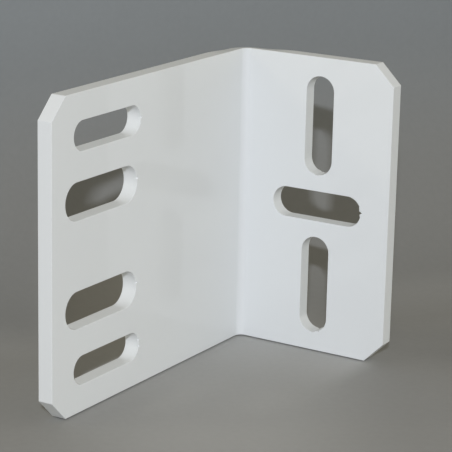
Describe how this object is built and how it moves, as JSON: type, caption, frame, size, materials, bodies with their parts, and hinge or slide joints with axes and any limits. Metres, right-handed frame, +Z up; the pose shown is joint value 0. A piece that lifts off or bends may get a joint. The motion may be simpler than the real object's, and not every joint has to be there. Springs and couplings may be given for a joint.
{
  "type": "fixing angle bracket",
  "caption": "White coated plate folded to a right angle, with unequal legs, cut corners and slots in both legs for adjustable bolting.",
  "frame": {"origin": "middle of the footprint's bounding box, on the floor that the bracket stands on", "axes": "+Z up along the fold, +X along the short leg from the fold to its free end, -Y along the long leg from the fold to its free end"},
  "size_m": [0.0716, 0.1324, 0.118],
  "materials": {
    "white_coat": "satin"
  },
  "bodies": {
    "root": {"angle_bracket": "white_coat"}
  },
  "joints": []
}
